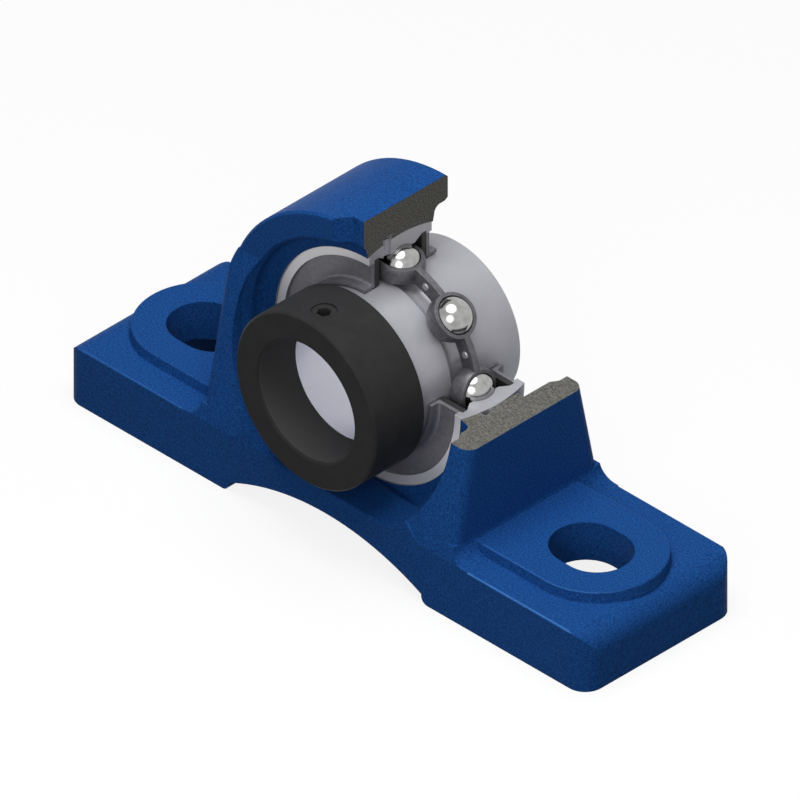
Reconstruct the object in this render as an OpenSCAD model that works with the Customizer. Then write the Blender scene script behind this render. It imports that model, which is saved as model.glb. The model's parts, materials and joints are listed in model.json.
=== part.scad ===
// Cutaway pillow block bearing with an eccentric locking collar, in millimetres.
// X runs along the base, Y along the shaft and Z up. The collar is on the -Y side.
// The origin lies under the middle of the bearing, on the face that the feet stand on.

/* [Feet] */
// Length of the base, end to end
base_l = 165; // [150:1:200]
// Width of the base
base_w = 48; // [44:1:60]
// Radius of the upright corners of the base
base_corner_r = 5; // [1:0.5:8]
// Thickness of a foot beside its pad
foot_h = 15.5; // [12:0.5:17]
// Rounding of the upper edge of a foot, front and back
foot_edge_r = 0.5; // [0.25:0.25:2]
// Rounding of the upper edge of a foot at its outer end
foot_end_r = 6; // [2:0.5:9]
// Height of the bolt pad above the foot
pad_h = 2.7; // [1:0.1:4]
// Width of material round the slot that the pad covers
pad_margin = 7.9; // [5:0.1:9]
// Rounding of the upper edge of a pad
pad_edge_r = 0.4; // [0.3:0.1:1]
// Slope of the pad's edge, as extra radius at its foot
pad_draft = 0.4; // [0.2:0.1:1]
// Distance between the middles of the bolt slots
bolt_spacing = 121; // [112:1:128]
// Width of a bolt slot
slot_w = 17; // [10:0.5:18]
// Length of a bolt slot, end to end
slot_l = 20.5; // [18.5:0.5:24]
// Height of the hollow under a foot
hollow_h = 7.9; // [4:0.1:9]
// Thickness of the walls in front of that hollow and behind it
hollow_wall = 6; // [4:0.5:8]
// Thickness of the wall between that hollow and the arch
hollow_rib = 7; // [4:0.5:10]
// Rounding of that hollow's upright corners
hollow_r = 4; // [2:0.5:6]

/* [Pedestal and ring] */
// Height of the shaft above the base
shaft_h = 42.9; // [42.5:0.1:50]
// Thickness of the ring outside the bearing seat
ring_wall = 8.95; // [7:0.05:14]
// Width of the ring at its top
ring_w = 30; // [26:1:36]
// Chamfer on the ring's outer edges
ring_chamfer = 0.6; // [0.2:0.1:1.5]
// Width of the pedestal at the height of the shaft
waist_w = 36.8; // [36:0.2:40]
// Rounding of the pedestal's upright corners
waist_corner_r = 3; // [0.5:0.25:3.5]
// Fillet between the pedestal's sides and the feet
pedestal_fillet = 4; // [2:0.5:8]
// Width of the upright web between the feet, at its foot
web_w = 59; // [50:1:70]
// Height of that web on the front and back faces
web_h = 24; // [18:0.5:26]
// Lean of the web's sides, in degrees
web_lean = 45; // [20:1:50]
// Width of the arch under the base
arch_w = 61; // [40:1:64]
// Height of the arch at its crown
arch_h = 9.4; // [7.5:0.1:9.5]
// Radius of the arch
arch_r = 70; // [60:1:120]
// Rounding of the feet's lower edges beside the arch
arch_edge_r = 2; // [0.5:0.25:2.25]

/* [Recess beside the seat] */
// Half the width of the spherical seat
seat_half = 10.3; // [9.9:0.1:11]
// Radius of the recess, beyond the radius of the seat
recess_wall = 2.1; // [1:0.05:3]
// Rounding at the bottom of the recess
recess_corner_r = 2; // [1:0.1:2.5]
// Slope of the shoulder of the recess, in degrees
recess_shoulder = 12; // [4:1:16]
// Distance from the middle at which the wall of the recess flares out
flare_at = 14; // [13.5:0.1:14.5]
// Length of the flare along the shaft
flare_l = 2; // [1:0.1:3]
// Extra radius of the recess outside the flare
flare_rise = 1.2; // [0.5:0.1:2]
// Drop from the top of the feet to the floor of the recess beside the seat
floor_drop = 2.3; // [1.8:0.1:2.5]
// Distance from the middle at which that floor reaches the top of the feet
floor_end = 14; // [13:0.1:18]
// Radius of the blend from the top of the feet up to the wall of the recess
floor_blend_r = 10; // [4:0.5:14]
// Depth of the notch at the top of the front recess
notch_depth = 3.4; // [1:0.1:4]
// Width of that notch at its bottom
notch_w = 6.4; // [4:0.2:10]
// Height of the two loading slots at the back of the seat
load_slot_h = 20.6; // [20:0.1:22]
// Distance behind the middle at which the loading slots widen
load_step = 6; // [4:0.5:9]
// Width of the grease groove in the seat
grease_groove_w = 2.4; // [1.5:0.1:3]
// Depth of the grease groove
grease_groove_d = 1.25; // [0.5:0.05:2]

/* [Bearing] */
// Bore of the inner ring
bore_d = 30; // [24:0.5:31]
// Outer diameter of the bearing
outer_d = 62; // [61.5:0.1:66]
// Width of the outer ring
outer_w = 19.8; // [19:0.1:20]
// Diameter of the circle through the middles of the balls
pitch_d = 46; // [45:0.1:46.4]
// Diameter of a ball
ball_d = 9.525; // [8:0.025:9.8]
// Number of balls
ball_count = 8; // [6:1:9]
// Drop of the inner ring's surface inside the ball circle
inner_land = 2.9; // [2.4:0.05:3.2]
// Rise of the outer ring's bore outside the ball circle
outer_land = 3.4; // [3:0.05:3.6]
// Half the width of the outer ring's narrowest bore
outer_land_half = 4.6; // [4.4:0.1:5]
// Distance from the middle to the back of the inner ring
inner_back = 18.3; // [16:0.1:22]
// Distance from the middle to the shoulder at the collar
inner_front = 14.2; // [13:0.1:16]
// Chamfer on the ends of the inner ring
inner_chamfer = 0.5; // [0.2:0.1:0.8]
// Distance of the grease hole from the middle
grease_offset = 4.2; // [4:0.1:5]
// Diameter of the grease hole in the outer ring
grease_hole_d = 2.4; // [1:0.1:2.6]

/* [Cage] */
// Radial width of the cage ribbon
cage_w = 4; // [3:0.1:4.4]
// Thickness of each half of the cage
cage_t = 0.8; // [0.5:0.05:1]
// Diameter of a rivet
rivet_d = 1.3; // [0.8:0.1:1.6]
// Diameter of a rivet's heads
rivet_head_d = 1.9; // [1.7:0.1:2.6]
// Height of a rivet's heads
rivet_head_h = 0.3; // [0.2:0.05:0.6]

/* [Seals] */
// Depth of the shield below the face of the outer ring
shield_recess = 0.8; // [0.3:0.1:1]
// Thickness of the shield
shield_t = 0.9; // [0.6:0.1:1.2]
// Distance from the inner land to the shield's rim in the outer ring
shield_rise = 0.65; // [0.4:0.05:0.8]
// Height of the curled inner edge of the shield
curl_h = 2.3; // [1:0.1:2.6]
// Thickness of the curled edge
curl_t = 0.8; // [0.5:0.05:1]
// Thickness of the rubber disc behind the shield
rubber_t = 1.45; // [0.8:0.05:1.6]
// Depth of the groove that the rubber snaps into
snap_depth = 0.8; // [0.4:0.05:1]

/* [Collar] */
// Outer diameter of the collar
collar_d = 44.4; // [43:0.1:46]
// Length of the collar
collar_l = 15.9; // [14:0.1:20]
// Chamfer on the outer edges of the collar
collar_chamfer = 0.5; // [0.2:0.1:1]
// Chamfer at the mouth of the collar's bore
collar_mouth = 0.6; // [0.2:0.1:1.2]
// Length of the cam on the inner ring
cam_l = 4; // [3:0.1:6]
// Diameter of the cam
cam_d = 36.8; // [36:0.1:37.4]
// Offset of the cam from the shaft
cam_offset = 0.8; // [0.4:0.1:1]
// Distance of the set screw from the front of the collar
screw_inset = 5.9; // [4.5:0.1:7]
// Diameter of the set screw
screw_d = 6; // [4:0.5:7]
// Width across the flats of its socket
socket_af = 3; // [2:0.5:3.5]
// Depth of its socket
socket_depth = 3; // [1:0.1:4]
// Depth of the screw below the collar's surface
screw_sink = 0.5; // [0.2:0.1:1]

/* [Clearances] */
// Gap between the outer ring and its seat
seat_gap = 0.05; // [0.02:0.01:0.1]
// Gap between a ball and the bottom of each groove
race_gap = 0.03; // [0.01:0.01:0.05]
// Groove radius as a share of the ball's diameter
conformity = 0.52; // [0.51:0.005:0.53]
// Gap between a ball and its pocket
pocket_gap = 0.15; // [0.05:0.01:0.2]
// Gap under the rubber lip
lip_gap = 0.05; // [0.03:0.01:0.1]
// Gap round parts that are pressed or screwed together
fit_gap = 0.03; // [0.01:0.01:0.05]

/* [Hidden] */
balls = [for (i = [1:ball_count]) str("ball_", i)];
$fn = 96;

// Cut lengths reach past what they cut by this much
over = 1;
far = base_l;

outer_r = outer_d / 2;
seat_r = outer_r + seat_gap;
ring_r = seat_r + ring_wall;
recess_r = seat_r + recess_wall;
pitch_r = pitch_d / 2;
ball_r = ball_d / 2;
ball_step = 360 / ball_count;

// The grooves are a little wider than a ball and touch it only at the bottom
groove_r = ball_d * conformity;
outer_groove_at = pitch_r + ball_r + race_gap - groove_r;
inner_groove_at = pitch_r - ball_r - race_gap + groove_r;
inner_r = pitch_r - inner_land;
outer_bore_r = pitch_r + outer_land;
outer_half = outer_w / 2;
inner_tip = inner_front + cam_l;

shield_face = outer_half - shield_recess;
shield_back = shield_face - shield_t;
rubber_back = shield_back - rubber_t;
shield_r = outer_bore_r + shield_rise;
snap_r = shield_r + snap_depth;
curl_in = inner_r + lip_gap + 0.3;
curl_out = curl_in + curl_t;

collar_r = collar_d / 2;
collar_front = inner_front + collar_l;
collar_bore_r = bore_d / 2 + fit_gap;
screw_at = collar_front - screw_inset;
cam_r = cam_d / 2;

pocket_r = ball_r + pocket_gap;
pad_r = slot_w / 2 + pad_margin;
slot_half = (slot_l - slot_w) / 2;
pad_end = bolt_spacing / 2 + slot_half;

// The front and back of the pedestal lean in by this angle until they are as wide as the ring
lean = atan((base_w - waist_w) / 2 / (shaft_h - foot_h));
lean_top = foot_h + (base_w - ring_w) / 2 / tan(lean);

// The seat ends on a circle of this radius, where the shoulder of the recess begins
seat_edge_r = sqrt(seat_r * seat_r - seat_half * seat_half);

BLUE = [0.11, 0.28, 0.53];
STEEL = [0.72, 0.72, 0.75];
CHROME = [0.88, 0.88, 0.86];
DARK_STEEL = [0.3, 0.3, 0.32];
SHIELD = [0.36, 0.36, 0.37];
RUBBER = [0.08, 0.08, 0.09];
BLACK = [0.13, 0.13, 0.14];

// Places children on the shaft's axis, with their own +Z towards the collar and +Y up
module on_shaft() {
    translate([0, 0, shaft_h]) rotate([90, 0, 0]) children();
}

// Turns a profile of radius against distance from the middle, towards the collar
module turned() {
    on_shaft() rotate_extrude() children();
}

// Mirrors children in the middle plane of the bearing, so that they face the back
module at_back() {
    mirror([0, 1, 0]) children();
}

// The quadrant that is cut away, to the right of the shaft's axis and above it
module cutaway() {
    translate([0, -far / 2, shaft_h]) cube([far, far, far]);
}

// A rectangle with round corners, centred on its length and width
module round_rect(length, width, r) {
    square([length - 2 * r, width], center = true);
    square([length, width - 2 * r], center = true);
    for (x = [-1, 1], y = [-1, 1])
        translate([x * (length / 2 - r), y * (width / 2 - r)]) circle(r);
}

// The pedestal and the inner ends of the feet, seen from the front, X against Z
module front_outline() {
    reach = ring_r + pedestal_fillet + over;
    translate([-reach, 0]) square([2 * reach, foot_h]);
    translate([-ring_r, 0]) square([2 * ring_r, shaft_h]);
    translate([0, shaft_h]) circle(ring_r);
    for (side = [-1, 1]) difference() {
        translate([side * (ring_r + pedestal_fillet / 2), foot_h + pedestal_fillet / 2])
            square(pedestal_fillet, center = true);
        translate([side * (ring_r + pedestal_fillet), foot_h + pedestal_fillet])
            circle(pedestal_fillet);
    }
}

// The pedestal seen from the side, Y against Z
module side_outline() {
    half = base_w / 2;
    top = shaft_h + ring_r + over;
    polygon([
        [-half, 0], [half, 0], [half, foot_h], [ring_w / 2, lean_top], [ring_w / 2, top],
        [-ring_w / 2, top], [-ring_w / 2, lean_top], [-half, foot_h]
    ]);
}

// What is cut off each upright corner of the pedestal, above the fillets
module corner_relief() {
    r = waist_corner_r;
    start = foot_h + pedestal_fillet;
    rise = (lean_top - start) / cos(lean);
    for (x = [0, 1], y = [0, 1]) mirror([x, 0, 0]) mirror([0, y, 0])
        translate([ring_r, base_w / 2 - (start - foot_h) * tan(lean), start])
            rotate([lean, 0, 0]) linear_extrude(rise) difference() {
                translate([-r, -r]) square(r + over);
                translate([-r, -r]) circle(r);
            }
}

// What is cut off the outer edges of the ring, where it stands clear of the pedestal
module ring_edge_relief() {
    face = ring_w / 2;
    c = ring_chamfer;
    intersection() {
        for (side = [0, 1]) mirror([0, side, 0]) turned() polygon([
            [ring_r - c, face], [ring_r - c - over, face + over],
            [ring_r + over, face + over], [ring_r + over, face - c - over], [ring_r, face - c]
        ]);
        translate([-far / 2, -far / 2, lean_top]) cube(far);
    }
}

module pedestal() {
    difference() {
        intersection() {
            rotate([90, 0, 0]) linear_extrude(base_w + 2 * over, center = true) front_outline();
            rotate([90, 0, 90]) linear_extrude(base_l, center = true) side_outline();
        }
        corner_relief();
        ring_edge_relief();
    }
    rotate([90, 0, 0]) linear_extrude(base_w, center = true) web_2d();
}

// The web between the feet stands upright, where the pedestal beside it leans back
module web_2d() {
    inset = (web_h - foot_h) * tan(web_lean);
    polygon([
        [-web_w / 2, 0], [web_w / 2, 0], [web_w / 2, foot_h],
        [web_w / 2 - inset, web_h], [-web_w / 2 + inset, web_h], [-web_w / 2, foot_h]
    ]);
}

// Both feet and what joins them, a slab with rounded edges on top
module slab() {
    intersection() {
        linear_extrude(foot_h + over) round_rect(base_l, base_w, base_corner_r);
        rotate([90, 0, 90]) linear_extrude(base_l + 2 * over, center = true)
            slab_end(base_w, foot_edge_r);
        rotate([90, 0, 0]) linear_extrude(base_w + 2 * over, center = true)
            slab_end(base_l, foot_end_r);
    }
}

module slab_end(width, r) {
    edge = width / 2 - r;
    translate([-width / 2, 0]) square([width, foot_h - r]);
    translate([-edge, 0]) square([2 * edge, foot_h]);
    for (side = [-1, 1])
        translate([side * edge, foot_h - r]) circle(r);
}

module arch() {
    rotate([90, 0, 0]) linear_extrude(base_w + 2 * over, center = true) {
        intersection() {
            translate([0, arch_h - arch_r]) circle(arch_r);
            translate([-arch_w / 2, -over]) square([arch_w, arch_h + 2 * over]);
        }
        for (side = [0, 1]) mirror([side, 0]) arch_edge_2d();
    }
}

// The rounding is no higher than the upright wall at the end of the arch
module arch_edge_2d() {
    wall = arch_h - arch_r + sqrt(arch_r * arch_r - arch_w * arch_w / 4);
    r = min(arch_edge_r, wall);
    translate([arch_w / 2, 0]) difference() {
        translate([-over, -over]) square(r + over);
        translate([r, r]) circle(r);
    }
}

// A pad with a round outer end, running back into the pedestal
module bolt_pad(side) {
    straight = pad_end - ring_r + over;
    mirror([side < 0 ? 1 : 0, 0, 0]) translate([pad_end, 0, foot_h]) {
        rotate([0, 0, -90]) rotate_extrude(angle = 180) pad_profile();
        for (y = [0, 1]) mirror([0, y, 0]) translate([-straight, 0, 0])
            rotate([90, 0, 90]) linear_extrude(straight) pad_profile();
    }
}

module pad_profile() {
    e = pad_edge_r;
    polygon([
        [0, -foot_end_r], [pad_r + pad_draft, -foot_end_r], [pad_r + pad_draft, 0],
        [pad_r, pad_h - e], [pad_r - e, pad_h], [0, pad_h]
    ]);
    translate([pad_r - e, pad_h - e]) circle(e);
}

module bolt_slot(side) {
    translate([side * bolt_spacing / 2, 0, -over]) linear_extrude(foot_h + pad_h + 2 * over) {
        for (end = [-1, 1]) translate([end * slot_half, 0]) circle(slot_w / 2);
        square([2 * slot_half, slot_w], center = true);
    }
}

// Under each foot the casting is hollow, from beside the arch to the outer end of the slot
module foot_hollow(side) {
    inner = arch_w / 2 + hollow_rib;
    outer = bolt_spacing / 2 + slot_l / 2;
    translate([side * (inner + outer) / 2, 0, -over]) linear_extrude(hollow_h + over)
        round_rect(outer - inner, base_w - 2 * hollow_wall, hollow_r);
}

// The recess on the front face: a sloped shoulder, a round corner, a wall and a flare
module recess() {
    corner_x = recess_r - recess_corner_r;
    shoulder_end = seat_half + (corner_x - seat_edge_r) * tan(recess_shoulder);
    corner_y = shoulder_end + recess_corner_r;
    outside = base_w / 2 + over;
    turned() {
        polygon([
            [0, seat_half], [seat_edge_r, seat_half], [corner_x, shoulder_end],
            [corner_x, corner_y], [recess_r, corner_y], [recess_r, flare_at],
            [recess_r + flare_rise, flare_at + flare_l], [recess_r + flare_rise, outside],
            [0, outside]
        ]);
        translate([corner_x, corner_y]) circle(recess_corner_r);
    }
}

// Where the recess runs into the feet it has a sloping floor of its own
module floor_ramp() {
    intersection() {
        recess();
        rotate([90, 0, 90]) linear_extrude(base_l, center = true) polygon([
            [0, foot_h - floor_drop], [-seat_half, foot_h - floor_drop],
            [-floor_end, foot_h], [-floor_end, foot_h + over], [0, foot_h + over]
        ]);
    }
}

// Fills the corner between the top of the feet and the wall of the recess, in front of the floor
module floor_blend() {
    wall_r = recess_r + flare_rise;
    r = floor_blend_r;
    z = foot_h + r - shaft_h;
    x = sqrt((wall_r - r) * (wall_r - r) - z * z);
    grow = (wall_r + over) / (wall_r - r);
    front = base_w / 2;
    for (side = [0, 1]) mirror([side, 0, 0]) intersection() {
        on_shaft() translate([0, 0, floor_end]) linear_extrude(front - floor_end) difference() {
            polygon([[x, z], [x, z - r - over], [x * grow, z - r - over], [x * grow, z * grow]]);
            translate([x, z]) circle(r);
        }
        rotate([90, 0, 90]) linear_extrude(base_l, center = true) side_outline();
    }
}

// A notch in the front face at the top of the ring, with sides at 45 degrees
module top_notch() {
    front = -ring_w / 2;
    translate([0, 0, shaft_h + seat_r]) linear_extrude(far)
        polygon([
            [-notch_w / 2 - notch_depth - over, front - over],
            [notch_w / 2 + notch_depth + over, front - over],
            [notch_w / 2, front + notch_depth], [-notch_w / 2, front + notch_depth]
        ]);
}

// Through these two slots the bearing goes in sideways and is then turned into its seat
module loading_slots() {
    intersection() {
        translate([-far / 2, 0, shaft_h - load_slot_h / 2]) cube([far, far, load_slot_h]);
        union() {
            at_back() on_shaft() cylinder(r = seat_r + fit_gap, h = seat_half + over);
            at_back() on_shaft() translate([0, 0, load_step])
                cylinder(r = recess_r, h = seat_half + 2 * recess_corner_r - load_step);
        }
    }
}

module grease_groove() {
    turned() translate([0, grease_offset - grease_groove_w / 2])
        square([seat_r + grease_groove_d, grease_groove_w]);
}

module housing() {
    color(BLUE) difference() {
        union() {
            difference() {
                slab();
                for (back = [0, 1]) mirror([0, back, 0]) floor_ramp();
            }
            difference() {
                pedestal();
                for (back = [0, 1]) mirror([0, back, 0]) recess();
                translate([-far / 2, -far / 2, foot_h / 2 - far]) cube(far);
            }
            for (back = [0, 1]) mirror([0, back, 0]) floor_blend();
            for (side = [-1, 1]) bolt_pad(side);
        }
        for (side = [-1, 1]) {
            bolt_slot(side);
            foot_hollow(side);
        }
        on_shaft() sphere(seat_r);
        arch();
        top_notch();
        loading_slots();
        grease_groove();
        cutaway();
    }
}

module outer_ring() {
    color(STEEL) difference() {
        turned() difference() {
            intersection() {
                circle(outer_r);
                translate([0, -outer_half]) square([outer_r + over, outer_w]);
            }
            translate([-over, -outer_half - over]) square([outer_bore_r + over, outer_w + 2 * over]);
            translate([outer_groove_at, 0]) circle(groove_r);
            for (side = [0, 1]) mirror([0, side]) seal_seat_2d();
        }
        on_shaft() translate([0, pitch_r, grease_offset]) rotate([-90, 0, 0])
            cylinder(d = grease_hole_d, h = outer_r);
        cutaway();
    }
}

// Where a seal sits in the outer ring: a cone, the snap groove and the mouth
module seal_seat_2d() {
    polygon([
        [outer_bore_r - over, outer_land_half], [outer_bore_r, outer_land_half],
        [snap_r, rubber_back], [snap_r, shield_back],
        [shield_r + fit_gap, shield_back], [shield_r + fit_gap, outer_half + over],
        [outer_bore_r - over, outer_half + over]
    ]);
}

module inner_ring() {
    color(STEEL) difference() {
        union() {
            turned() inner_profile();
            on_shaft() translate([0, cam_offset, inner_front - over])
                cylinder(r = cam_r, h = cam_l + over);
        }
        on_shaft() translate([0, 0, -inner_back - over])
            cylinder(d = bore_d, h = inner_back + inner_tip + 2 * over);
        on_shaft() translate([0, 0, -inner_back - fit_gap])
            cylinder(r1 = bore_d / 2 + inner_chamfer + fit_gap, r2 = bore_d / 2,
                     h = inner_chamfer + fit_gap);
    }
}

module inner_profile() {
    c = inner_chamfer;
    difference() {
        polygon([
            [bore_d / 2 - over, -inner_back], [inner_r - c, -inner_back], [inner_r, c - inner_back],
            [inner_r, inner_front - c], [inner_r - c, inner_front], [bore_d / 2 - over, inner_front]
        ]);
        translate([inner_groove_at, 0]) circle(groove_r);
    }
}

module locking_collar() {
    c = collar_chamfer;
    m = collar_mouth;
    color(BLACK) difference() {
        turned() polygon([
            [collar_bore_r, inner_front + fit_gap], [collar_r - c, inner_front + fit_gap],
            [collar_r, inner_front + fit_gap + c], [collar_r, collar_front - c],
            [collar_r - c, collar_front], [collar_bore_r + m, collar_front],
            [collar_bore_r, collar_front - m]
        ]);
        on_shaft() translate([0, cam_offset, inner_front - over])
            cylinder(r = cam_r + 2 * fit_gap, h = cam_l + over + 2 * fit_gap);
        on_shaft() translate([0, 0, screw_at]) rotate([-90, 0, 0])
            cylinder(r = screw_d / 2 + fit_gap, h = collar_r + over);
    }
}

module collar_set_screw() {
    top = collar_r - screw_sink;
    tip = bore_d / 2 + 2 * fit_gap;
    color(BLACK) on_shaft() translate([0, 0, screw_at]) rotate([-90, 0, 0]) difference() {
        union() {
            translate([0, 0, tip + screw_d / 8]) cylinder(d = screw_d, h = top - tip - screw_d / 8);
            translate([0, 0, tip]) cylinder(d1 = screw_d * 0.75, d2 = screw_d, h = screw_d / 8);
        }
        translate([0, 0, top - socket_depth])
            cylinder(d = socket_af / cos(30), h = socket_depth + over, $fn = 6);
    }
}

// One stamped half of the cage: a flat ribbon with a round pocket for each ball
module cage_half() {
    shell_r = pocket_r + cage_t;
    difference() {
        intersection() {
            cage_band(shell_r + over);
            union() {
                cage_band(cage_t);
                at_each_ball() sphere(shell_r);
            }
        }
        at_each_ball() sphere(pocket_r);
        at_each_rivet() translate([0, 0, -over])
            cylinder(d = rivet_d + 2 * fit_gap, h = cage_t + 2 * over);
    }
}

module cage_band(h) {
    difference() {
        cylinder(r = pitch_r + cage_w / 2, h = h);
        translate([0, 0, -over]) cylinder(r = pitch_r - cage_w / 2, h = h + 2 * over);
    }
}

module at_each_ball() {
    for (i = [0:ball_count - 1]) rotate(i * ball_step) translate([0, pitch_r, 0]) children();
}

module at_each_rivet() {
    for (i = [0:ball_count - 1])
        rotate((i + 0.5) * ball_step) translate([0, pitch_r, 0]) children();
}

module cage_front() {
    color(DARK_STEEL) on_shaft() cage_half();
}

module cage_rear() {
    color(DARK_STEEL) at_back() on_shaft() cage_half();
}

module cage_rivets() {
    color(STEEL) on_shaft() at_each_rivet() {
        translate([0, 0, -cage_t - rivet_head_h])
            cylinder(d = rivet_d, h = 2 * (cage_t + rivet_head_h));
        for (side = [0, 1]) mirror([0, 0, side]) translate([0, 0, cage_t])
            cylinder(d1 = rivet_head_d, d2 = rivet_head_d * 0.8, h = rivet_head_h);
    }
}

module ball(i) {
    color(CHROME) on_shaft() rotate((1 - i) * ball_step) translate([0, pitch_r, 0]) sphere(ball_r);
}

module shield_profile() {
    bend = curl_t;
    difference() {
        union() {
            translate([curl_in, shield_back])
                square([shield_r - curl_in, shield_t]);
            translate([curl_in, shield_back]) square([curl_t + bend, shield_t + bend]);
            translate([curl_in, shield_back]) square([curl_t, shield_t + curl_h]);
        }
        translate([curl_out + bend, shield_face + bend]) circle(bend);
    }
}

module rubber_profile() {
    lip = inner_r + lip_gap;
    polygon([
        [snap_r - fit_gap, rubber_back], [snap_r - fit_gap, shield_back],
        [curl_in, shield_back], [lip, shield_back + shield_t / 2], [lip, shield_back - rubber_t / 3],
        [curl_in, rubber_back]
    ]);
}

module seal_shield() {
    color(SHIELD) turned() shield_profile();
}

module seal_rubber() {
    color(RUBBER) turned() rubber_profile();
}

module front_seal_shield() {
    difference() {
        seal_shield();
        cutaway();
    }
}

module front_seal_rubber() {
    difference() {
        seal_rubber();
        cutaway();
    }
}

module rear_seal_shield() {
    difference() {
        at_back() seal_shield();
        cutaway();
    }
}

module rear_seal_rubber() {
    difference() {
        at_back() seal_rubber();
        cutaway();
    }
}

housing();
outer_ring();
inner_ring();
locking_collar();
collar_set_screw();
cage_front();
cage_rear();
cage_rivets();
front_seal_shield();
front_seal_rubber();
rear_seal_shield();
rear_seal_rubber();
for (i = [1:ball_count])
    ball(i);
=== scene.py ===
# Dresses a cutaway pillow block bearing: paint, cut iron, ground and black steel, rubber, balls.
import json
import math

import bpy
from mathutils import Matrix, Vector

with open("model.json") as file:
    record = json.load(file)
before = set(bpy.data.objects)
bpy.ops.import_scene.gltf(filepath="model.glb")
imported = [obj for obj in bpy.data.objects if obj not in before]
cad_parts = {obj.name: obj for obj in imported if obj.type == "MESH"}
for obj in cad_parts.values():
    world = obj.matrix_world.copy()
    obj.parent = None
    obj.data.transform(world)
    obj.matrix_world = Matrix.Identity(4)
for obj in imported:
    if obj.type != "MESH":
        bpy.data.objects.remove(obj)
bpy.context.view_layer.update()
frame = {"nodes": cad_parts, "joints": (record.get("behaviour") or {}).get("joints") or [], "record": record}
nodes = frame["nodes"]

MM = 0.001

# The spherical seat in the casting, and the grease groove in it
SEAT_R = 31.05 * MM
SEAT_HALF = 10.35 * MM
SEAT_SLACK = 0.1 * MM
GROOVE_AT = 4.2 * MM
GROOVE_HALF = 1.3 * MM
GROOVE_DEPTH = 1.35 * MM

# A face is one of the two cuts when it lies this near to the cut's plane and faces along its axis
CUT_SLACK = 0.02 * MM
CUT_FACING = 0.999

# The feet begin this far from the middle and are this high
FEET_FROM = 42 * MM
FEET_HIGH = 15.5 * MM
# Their rounded edges and those of the bolt pads lie between these two heights
EDGES_LOW = 14.9 * MM
EDGES_HIGH = 18.3 * MM
# The painted highlight begins where an edge's normal has turned this far, and is full at the second value
GLINT_FROM = 0.25
GLINT_FULL = 0.5
# How strong the painted highlight is on the left foot and on the pads, where the right foot counts as 1
GLINT_LEFT = 0.35
GLINT_PADS = 0.4

# The bore of the inner ring and that of the collar lie inside this radius
SHAFT_BORE_R = 15.1 * MM

# The side faces of the outer ring lie outside this radius and this far from the middle
FACE_R = 25.5 * MM
FACE_AT = 9.85 * MM

# The shaft's axis runs along Y at this height
SHAFT_Z = frame["joints"][0]["pos_m"][2]

# The photograph is an isometric view: 45 degrees round from the front and 35.26 degrees up
AZIMUTH = math.radians(45)
ELEVATION = math.atan(1 / math.sqrt(2))
FRAME_PX = 800
PX_PER_MM = 4.465
# Where the photograph shows the middle of the base, in its pixels
ORIGIN_PX = (400.5, 503.4)
CAMERA_AWAY = 0.5

# The floor glows only for the camera and for reflections, as the white background does
FLOOR_HALF = 1.6
FLOOR_GREY = 0.15
FLOOR_GLOW = 0.86
BACKGROUND = 1.0
ROOM_LIGHT = 0.10
WHITE = (1, 1, 1, 1)
# Both lamps point at the middle of the bearing, or nearly so
LAMPS_AIM = (0, 0, 40 * MM)

# Noise runs from 0 to 1, but nearly all of it lies between these two values
NOISE_LOW = 0.3
NOISE_HIGH = 0.7


def rgb(r, g, b):
    """A colour in the usual 0 to 255 scale, as Blender's linear values."""
    def linear(c):
        c /= 255
        return c / 12.92 if c <= 0.04045 else ((c + 0.055) / 1.055) ** 2.4
    return (linear(r), linear(g), linear(b), 1.0)


PAINT = rgb(29, 76, 142)
PAINT_DARK = rgb(20, 57, 114)
PAINT_PALE = rgb(38, 93, 166)
# The paler blue of the highlight painted on the rounded edges of the feet and pads
PAINT_GLINT = rgb(66, 120, 195)
IRON_DARK = rgb(80, 80, 77)
IRON_PALE = rgb(129, 128, 123)
TURNED_DARK = rgb(140, 140, 144)
TURNED_PALE = rgb(172, 172, 176)
GROUND_DARK = rgb(166, 166, 173)
GROUND_PALE = rgb(175, 175, 182)
GROUND_FACE = rgb(240, 239, 242)
# The bore's colour is painted brighter, as painted light for the shade inside the bore
GROUND_BORE_PAINTED_LIGHT = rgb(220, 220, 227)
BLACK_DARK = rgb(51, 51, 52)
BLACK_PALE = rgb(56, 56, 57)
# The collar's bore is painted paler, as painted light for the shade inside it
BLACK_BORE_PAINTED_LIGHT = rgb(76, 76, 77)
CAGE_DARK = rgb(84, 84, 88)
CAGE_PALE = rgb(108, 108, 113)
RIVET_DARK = rgb(158, 158, 162)
RIVET_PALE = rgb(182, 182, 186)
SHIELD_DARK = rgb(113, 112, 118)
SHIELD_PALE = rgb(128, 127, 134)
RUBBER_DARK = rgb(14, 14, 15)
RUBBER_PALE = rgb(30, 30, 31)
BALL_DARK = rgb(150, 150, 149)
BALL_PALE = rgb(178, 178, 177)


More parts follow.
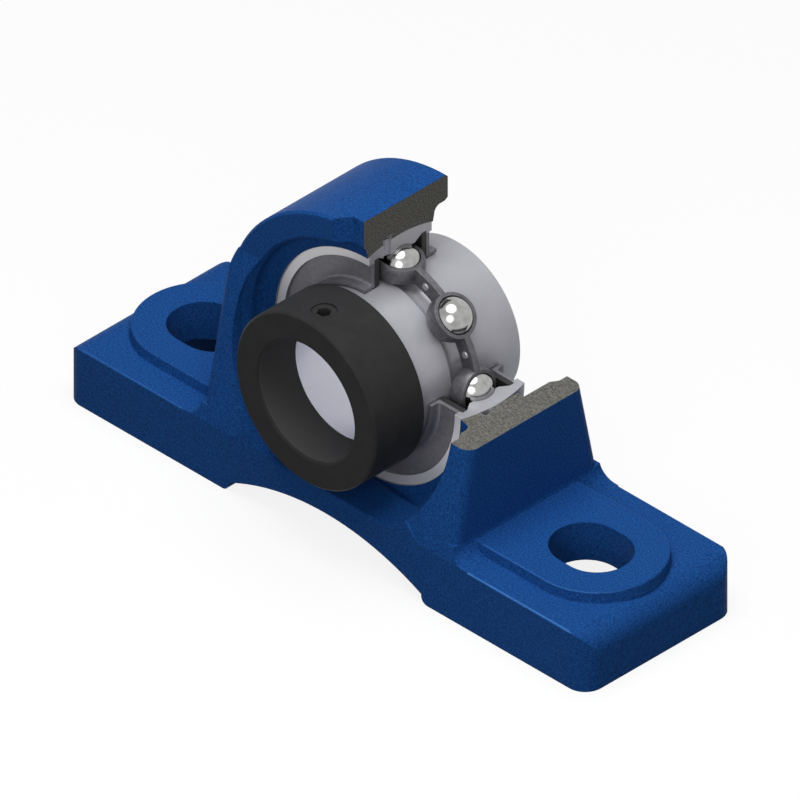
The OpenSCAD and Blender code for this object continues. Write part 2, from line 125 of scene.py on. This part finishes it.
class Graph:
    """A material's node tree, with short ways to add nodes and link them."""

    def __init__(self, name):
        self.material = bpy.data.materials.new(name)
        self.material.use_nodes = True
        self.tree = self.material.node_tree
        self.tree.nodes.clear()
        self.output = self.tree.nodes.new("ShaderNodeOutputMaterial")

    def node(self, kind, inputs=None, **props):
        made = self.tree.nodes.new("ShaderNode" + kind)
        for name, value in props.items():
            setattr(made, name, value)
        for name, value in (inputs or {}).items():
            self.put(made.inputs[name], value)
        return made

    def put(self, socket, value):
        """Links another node's output to the socket, or writes a plain value on it."""
        if isinstance(value, bpy.types.NodeSocket):
            self.tree.links.new(value, socket)
        else:
            socket.default_value = value

    def math(self, operation, a, b=0.0):
        made = self.node("Math", operation=operation)
        self.put(made.inputs[0], a)
        self.put(made.inputs[1], b)
        return made.outputs[0]

    def absolute(self, value):
        return self.math("ABSOLUTE", value)

    def above(self, value, limit):
        return self.math("GREATER_THAN", value, limit)

    def below(self, value, limit):
        return self.math("LESS_THAN", value, limit)

    def all_of(self, *masks):
        """The product of several masks."""
        product = masks[0]
        for mask in masks[1:]:
            product = self.math("MULTIPLY", product, mask)
        return product

    def hypotenuse(self, a, b):
        squares = self.math("ADD", self.math("MULTIPLY", a, a), self.math("MULTIPLY", b, b))
        return self.math("SQRT", squares)

    def mean(self, a, b, share=0.5):
        """The two values weighed by share and the rest."""
        return self.math("ADD", self.math("MULTIPLY", a, share),
                         self.math("MULTIPLY", b, 1 - share))

    def place(self):
        """The point on the piece, in metres, which moves with the piece."""
        return self.node("TexCoord").outputs["Object"]

    def split(self, vector):
        return self.node("SeparateXYZ", {0: vector}).outputs

    def around_shaft(self):
        """The radius from the shaft's axis and the place along it."""
        x, y, z = self.split(self.place())
        return self.hypotenuse(x, self.math("SUBTRACT", z, SHAFT_Z)), y

    def noise(self, scale, detail, roughness, vector=None):
        """Noise with about scale cells in a metre."""
        made = self.node("TexNoise", {"Scale": scale, "Detail": detail, "Roughness": roughness,
                                      "Vector": vector or self.place()})
        return made.outputs["Fac"]

    def turning_lines(self, scale):
        """Noise in rings round the shaft's axis, as a lathe or grinder leaves them."""
        radius, along = self.around_shaft()
        rows = self.node("CombineXYZ", {"X": radius, "Y": along, "Z": 0.0}).outputs[0]
        return self.noise(scale, 2.0, 0.6, rows)

    def ramp(self, value, low, high, to_low=0.0, to_high=1.0):
        made = self.node("MapRange", {"Value": value, "From Min": low, "From Max": high,
                                      "To Min": to_low, "To Max": to_high})
        return made.outputs["Result"]

    def spread(self, noise, to_low=0.0, to_high=1.0):
        """Noise stretched so that nearly all of it runs from to_low to to_high."""
        return self.ramp(noise, NOISE_LOW, NOISE_HIGH, to_low, to_high)

    def blend(self, factor, a, b, kind="RGBA"):
        """Colour or vector a where the factor is 0, and b where it is 1."""
        made = self.node("Mix", data_type=kind)
        self.put(made.inputs["Factor"], factor)
        self.put(made.inputs["A"], a)
        self.put(made.inputs["B"], b)
        return made.outputs["Result"]

    def mottle(self, noise, dark, pale):
        """A colour that wanders between dark and pale."""
        return self.blend(self.spread(noise), dark, pale)

    def bump(self, height, distance, strength, normal=None):
        made = self.node("Bump", {"Height": height, "Distance": distance, "Strength": strength})
        if normal:
            self.put(made.inputs["Normal"], normal)
        return made.outputs["Normal"]

    def soft_edges(self, radius, samples):
        """The normal as if every edge were rounded to the radius."""
        return self.node("Bevel", {"Radius": radius}, samples=samples).outputs["Normal"]

    def surface(self, **inputs):
        """The finished material, with each value on the shader's socket of that name."""
        names = {key.replace("_", " "): value for key, value in inputs.items()}
        shader = self.node("BsdfPrincipled", names)
        self.tree.links.new(shader.outputs[0], self.output.inputs["Surface"])
        return self.material


# Materials


def casting():
    """Blue paint over cast grain, with a highlight painted on the rounded edges of the feet, and bare iron
    where the casting is cut or machined.
    """
    g = Graph("blue_casting")
    x, y, z = g.split(g.place())
    radius, along = g.around_shaft()
    up = g.math("SUBTRACT", z, SHAFT_Z)
    geometry = g.node("NewGeometry").outputs
    facing = g.split(geometry["True Normal"])
    rounded = g.split(geometry["Normal"])

    # The cut faces lie in the planes x = 0 and z = shaft height, on the cut quadrant's side
    upright = g.all_of(g.above(facing[0], CUT_FACING), g.below(g.absolute(x), CUT_SLACK),
                       g.above(up, SEAT_R / 2))
    level = g.all_of(g.above(facing[2], CUT_FACING), g.below(g.absolute(up), CUT_SLACK),
                     g.above(x, SEAT_R / 2))
    cut = g.math("MAXIMUM", upright, level)

    # The seat and its grease groove are turned bare
    seat = g.all_of(g.below(g.hypotenuse(radius, along), SEAT_R + SEAT_SLACK),
                    g.below(g.absolute(along), SEAT_HALF))
    groove = g.all_of(g.below(radius, SEAT_R + GROOVE_DEPTH),
                      g.below(g.absolute(g.math("ADD", along, GROOVE_AT)), GROOVE_HALF))
    turned = g.math("MAXIMUM", seat, groove)

    grain = g.noise(2200, 3.0, 0.6)
    fine = g.noise(3600, 2.0, 0.6)
    patches = g.noise(260, 3.0, 0.6)
    paint = g.blend(g.ramp(grain, 0.32, 0.68), PAINT_DARK, PAINT_PALE)
    paint = g.blend(g.ramp(patches, 0.35, 0.7, 0.0, 0.3), paint, PAINT)

    # A highlight is painted paler on the rounded upper edges of the feet and pads along the base,
    # where their normals turn between up and front or back: more on the feet than on the pads, and most on
    # the right
    painted_glint = g.all_of(
        g.ramp(g.absolute(rounded[1]), GLINT_FROM, GLINT_FULL),
        g.ramp(rounded[2], GLINT_FROM, GLINT_FULL),
        g.above(g.absolute(x), FEET_FROM), g.above(z, EDGES_LOW), g.below(z, EDGES_HIGH),
        g.ramp(x, -FEET_FROM, FEET_FROM, GLINT_LEFT, 1.0),
        g.ramp(z, FEET_HIGH, EDGES_HIGH, 1.0, GLINT_PADS),
        g.ramp(patches, 0.3, 0.6, 0.7, 1.0),
    )
    paint = g.blend(painted_glint, paint, PAINT_GLINT)

    # Under the paint the edges are soft, and on bare metal they stay sharp
    speckle = g.mean(grain, fine)
    iron = g.blend(g.ramp(speckle, 0.4, 0.6), IRON_DARK, IRON_PALE)
    bare = g.mottle(fine, TURNED_DARK, TURNED_PALE)
    painted_grain = g.bump(grain, 0.1 * MM, 0.5, g.soft_edges(0.4 * MM, 6))
    bare_grain = g.bump(speckle, 0.06 * MM, 0.8)

    return g.surface(
        Base_Color=g.blend(turned, g.blend(cut, paint, iron), bare),
        # The cut faces are the roughest
        Roughness=g.math("ADD", g.math("MULTIPLY", cut, 0.25), g.spread(fine, 0.38, 0.5)),
        Specular_IOR_Level=0.015,
        Normal=g.blend(g.math("MAXIMUM", cut, turned), painted_grain, bare_grain, "VECTOR"),
    )


def ground_steel():
    """Fine lines round the shaft's axis, paler on the outer ring's sides, glossier in the bore and painted
    brighter there against its shade.
    """
    g = Graph("ground_steel")
    radius, along = g.around_shaft()
    lines = g.turning_lines(9000)
    tone = g.mean(lines, g.noise(160, 2.0, 0.5), 0.45)
    in_bore = g.below(radius, SHAFT_BORE_R)
    on_face = g.all_of(g.above(g.absolute(along), FACE_AT), g.above(radius, FACE_R))
    ground = g.blend(g.ramp(tone, 0.32, 0.68), GROUND_DARK, GROUND_PALE)
    ground = g.blend(on_face, ground, GROUND_FACE)
    return g.surface(
        # In the bore the colour is painted brighter, as painted light against its shade
        Base_Color=g.blend(in_bore, ground, GROUND_BORE_PAINTED_LIGHT),
        Metallic=g.ramp(in_bore, 0.0, 1.0, 0.25, 0.95),
        Roughness=g.math("SUBTRACT", g.spread(lines, 0.3, 0.4), g.math("MULTIPLY", in_bore, 0.14)),
        Normal=g.bump(lines, 0.005 * MM, 0.5, g.soft_edges(0.15 * MM, 4)),
    )


def black_steel():
    """Black oxide steel, satin, with faint turning lines and a bore painted paler, as painted light against
    its shade.
    """
    g = Graph("black_steel")
    radius, _ = g.around_shaft()
    lines = g.turning_lines(7000)
    black = g.mottle(g.noise(240, 3.0, 0.6), BLACK_DARK, BLACK_PALE)
    return g.surface(
        # In the bore the black is painted paler, as painted light against its shade
        Base_Color=g.blend(g.below(radius, SHAFT_BORE_R), black, BLACK_BORE_PAINTED_LIGHT),
        Roughness=g.spread(lines, 0.36, 0.46),
        Specular_IOR_Level=0.02,
        Normal=g.bump(lines, 0.01 * MM, 0.4, g.soft_edges(0.3 * MM, 4)),
    )


def stamped_steel(name, dark, pale, roughness, metallic):
    """Dull pressed sheet with a slightly uneven face."""
    g = Graph(name)
    cloud = g.noise(900, 3.0, 0.6)
    fine = g.noise(6000, 2.0, 0.6)
    return g.surface(
        Base_Color=g.mottle(cloud, dark, pale),
        Metallic=metallic,
        Roughness=g.spread(fine, roughness - 0.05, roughness + 0.06),
        Normal=g.bump(cloud, 0.02 * MM, 0.5, g.soft_edges(0.2 * MM, 4)),
    )


def rubber():
    """Matt black seal rubber with a fine grain."""
    g = Graph("seal_rubber")
    fine = g.noise(5000, 3.0, 0.6)
    return g.surface(
        Base_Color=g.mottle(fine, RUBBER_DARK, RUBBER_PALE),
        Roughness=g.spread(fine, 0.6, 0.75),
        Normal=g.bump(fine, 0.02 * MM, 0.5),
    )


def ball_steel():
    """Polished bearing balls, bright, with the faintest haze."""
    g = Graph("ball_steel")
    haze = g.noise(500, 2.0, 0.5)
    return g.surface(
        Base_Color=g.mottle(haze, BALL_DARK, BALL_PALE),
        Metallic=1.0,
        Roughness=g.spread(haze, 0.11, 0.19),
    )


MATERIALS = {
    "blue_casting": casting(),
    "ground_steel": ground_steel(),
    "black_steel": black_steel(),
    "cage_steel": stamped_steel("cage_steel", CAGE_DARK, CAGE_PALE,
                                roughness=0.4, metallic=0.45),
    "rivet_steel": stamped_steel("rivet_steel", RIVET_DARK, RIVET_PALE,
                                 roughness=0.42, metallic=0.5),
    "shield_steel": stamped_steel("shield_steel", SHIELD_DARK, SHIELD_PALE,
                                  roughness=0.44, metallic=0.25),
    "seal_rubber": rubber(),
    "ball_steel": ball_steel(),
}

for part in frame["record"]["subparts"]:
    slots = nodes[part["node"]].data.materials
    slots.clear()
    slots.append(MATERIALS[part["material_slot"]])


# Floor, world, lights and camera


def make_floor():
    """A plain pale floor, which glows to near white for the camera and keeps the shadow."""
    mesh = bpy.data.meshes.new("floor")
    corners = [(-FLOOR_HALF, -FLOOR_HALF, 0), (FLOOR_HALF, -FLOOR_HALF, 0),
               (FLOOR_HALF, FLOOR_HALF, 0), (-FLOOR_HALF, FLOOR_HALF, 0)]
    mesh.from_pydata(corners, [], [(0, 1, 2, 3)])
    floor = bpy.data.objects.new("floor", mesh)
    bpy.context.scene.collection.objects.link(floor)
    g = Graph("pale_floor")
    path = g.node("LightPath").outputs
    seen = g.math("MAXIMUM", path["Is Camera Ray"], path["Is Glossy Ray"])
    diffuse = g.node("BsdfDiffuse", {"Color": (FLOOR_GREY, FLOOR_GREY, FLOOR_GREY, 1)})
    glow = g.node("Emission", {"Color": WHITE, "Strength": g.math("MULTIPLY", seen, FLOOR_GLOW)})
    both = g.node("AddShader", {0: diffuse.outputs[0], 1: glow.outputs[0]})
    g.tree.links.new(both.outputs[0], g.output.inputs["Surface"])
    mesh.materials.append(g.material)


def make_world():
    """A weak even light, which the camera, metal and glass see as a white background."""
    world = bpy.data.worlds.new("studio")
    bpy.context.scene.world = world
    world.use_nodes = True
    tree = world.node_tree
    tree.nodes.clear()

    def maximum(a, b):
        made = tree.nodes.new("ShaderNodeMath")
        made.operation = "MAXIMUM"
        tree.links.new(a, made.inputs[0])
        tree.links.new(b, made.inputs[1])
        return made.outputs[0]

    def background(strength):
        made = tree.nodes.new("ShaderNodeBackground")
        made.inputs["Color"].default_value = WHITE
        made.inputs["Strength"].default_value = strength
        return made.outputs[0]

    path = tree.nodes.new("ShaderNodeLightPath").outputs
    seen = maximum(maximum(path["Is Camera Ray"], path["Is Glossy Ray"]),
                   path["Is Transmission Ray"])
    mix = tree.nodes.new("ShaderNodeMixShader")
    out = tree.nodes.new("ShaderNodeOutputWorld")
    tree.links.new(seen, mix.inputs["Fac"])
    tree.links.new(background(ROOM_LIGHT), mix.inputs[1])
    tree.links.new(background(BACKGROUND), mix.inputs[2])
    tree.links.new(mix.outputs[0], out.inputs["Surface"])


def turn_toward(item, direction):
    item.rotation_mode = "QUATERNION"
    item.rotation_quaternion = direction.to_track_quat("-Z", "Y")


def area_light(name, place, size, power):
    data = bpy.data.lights.new(name, "AREA")
    data.shape = "DISK"
    data.size = size
    data.energy = power
    lamp = bpy.data.objects.new(name, data)
    bpy.context.scene.collection.objects.link(lamp)
    lamp.location = place
    turn_toward(lamp, Vector(LAMPS_AIM) - Vector(place))


def make_lights():
    """A large soft light overhead, and a weaker one by the camera that reaches into the bore."""
    area_light("top_light", place=(0.02, -0.07, 0.70), size=0.6, power=4.0)
    area_light("fill_light", place=(0.36, -0.50, 0.36), size=0.5, power=1.4)


def make_camera():
    """A parallel view that puts the middle of the base where the photograph shows it."""
    level = math.cos(ELEVATION)
    toward = Vector((math.sin(AZIMUTH) * level, -math.cos(AZIMUTH) * level, math.sin(ELEVATION)))
    right = Vector((math.cos(AZIMUTH), math.sin(AZIMUTH), 0))
    up = toward.cross(right)
    half = FRAME_PX / 2
    px_per_metre = PX_PER_MM / MM
    centre = (right * (half - ORIGIN_PX[0]) + up * (ORIGIN_PX[1] - half)) / px_per_metre
    data = bpy.data.cameras.new("camera")
    data.type = "ORTHO"
    data.ortho_scale = FRAME_PX / px_per_metre
    camera = bpy.data.objects.new("camera", data)
    bpy.context.scene.collection.objects.link(camera)
    camera.location = centre + toward * CAMERA_AWAY
    turn_toward(camera, -toward)
    bpy.context.scene.camera = camera


bpy.context.scene.view_settings.view_transform = "Standard"
make_floor()
make_world()
make_lights()
make_camera()
